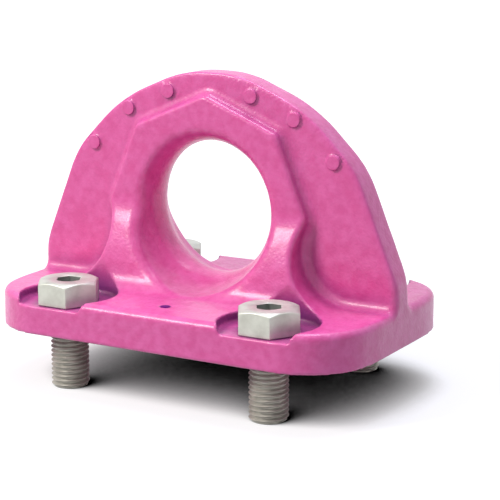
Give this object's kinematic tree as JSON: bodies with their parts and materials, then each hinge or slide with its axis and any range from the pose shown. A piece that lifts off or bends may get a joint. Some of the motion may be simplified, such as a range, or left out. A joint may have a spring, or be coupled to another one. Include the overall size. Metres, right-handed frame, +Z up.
{
  "type": "bolt-on lashing eye plate",
  "caption": "Forged eye on a thick rectangular base plate: arched flange, through eye on two flared legs, hexagon bolts seated in corner pockets, small press-in tag.",
  "frame": {"origin": "centre of the base plate's underside, the face that bolts to the load", "axes": "+X along the plate and the flange, +Y across the plate towards the rear, +Z up through the eye, away from the load"},
  "size_m": [0.216, 0.139, 0.1642],
  "materials": {
    "powder_coat": "gloss pink powder coat on drop-forged steel",
    "bolt_steel": "zinc flake on forged steel",
    "tag_resin": "violet moulded resin"
  },
  "bodies": {
    "root": {"eye_plate": "powder_coat", "bolt_front_left": "bolt_steel", "bolt_front_right": "bolt_steel", "bolt_rear_left": "bolt_steel", "bolt_rear_right": "bolt_steel", "id_tag_plug": "tag_resin"}
  },
  "joints": []
}
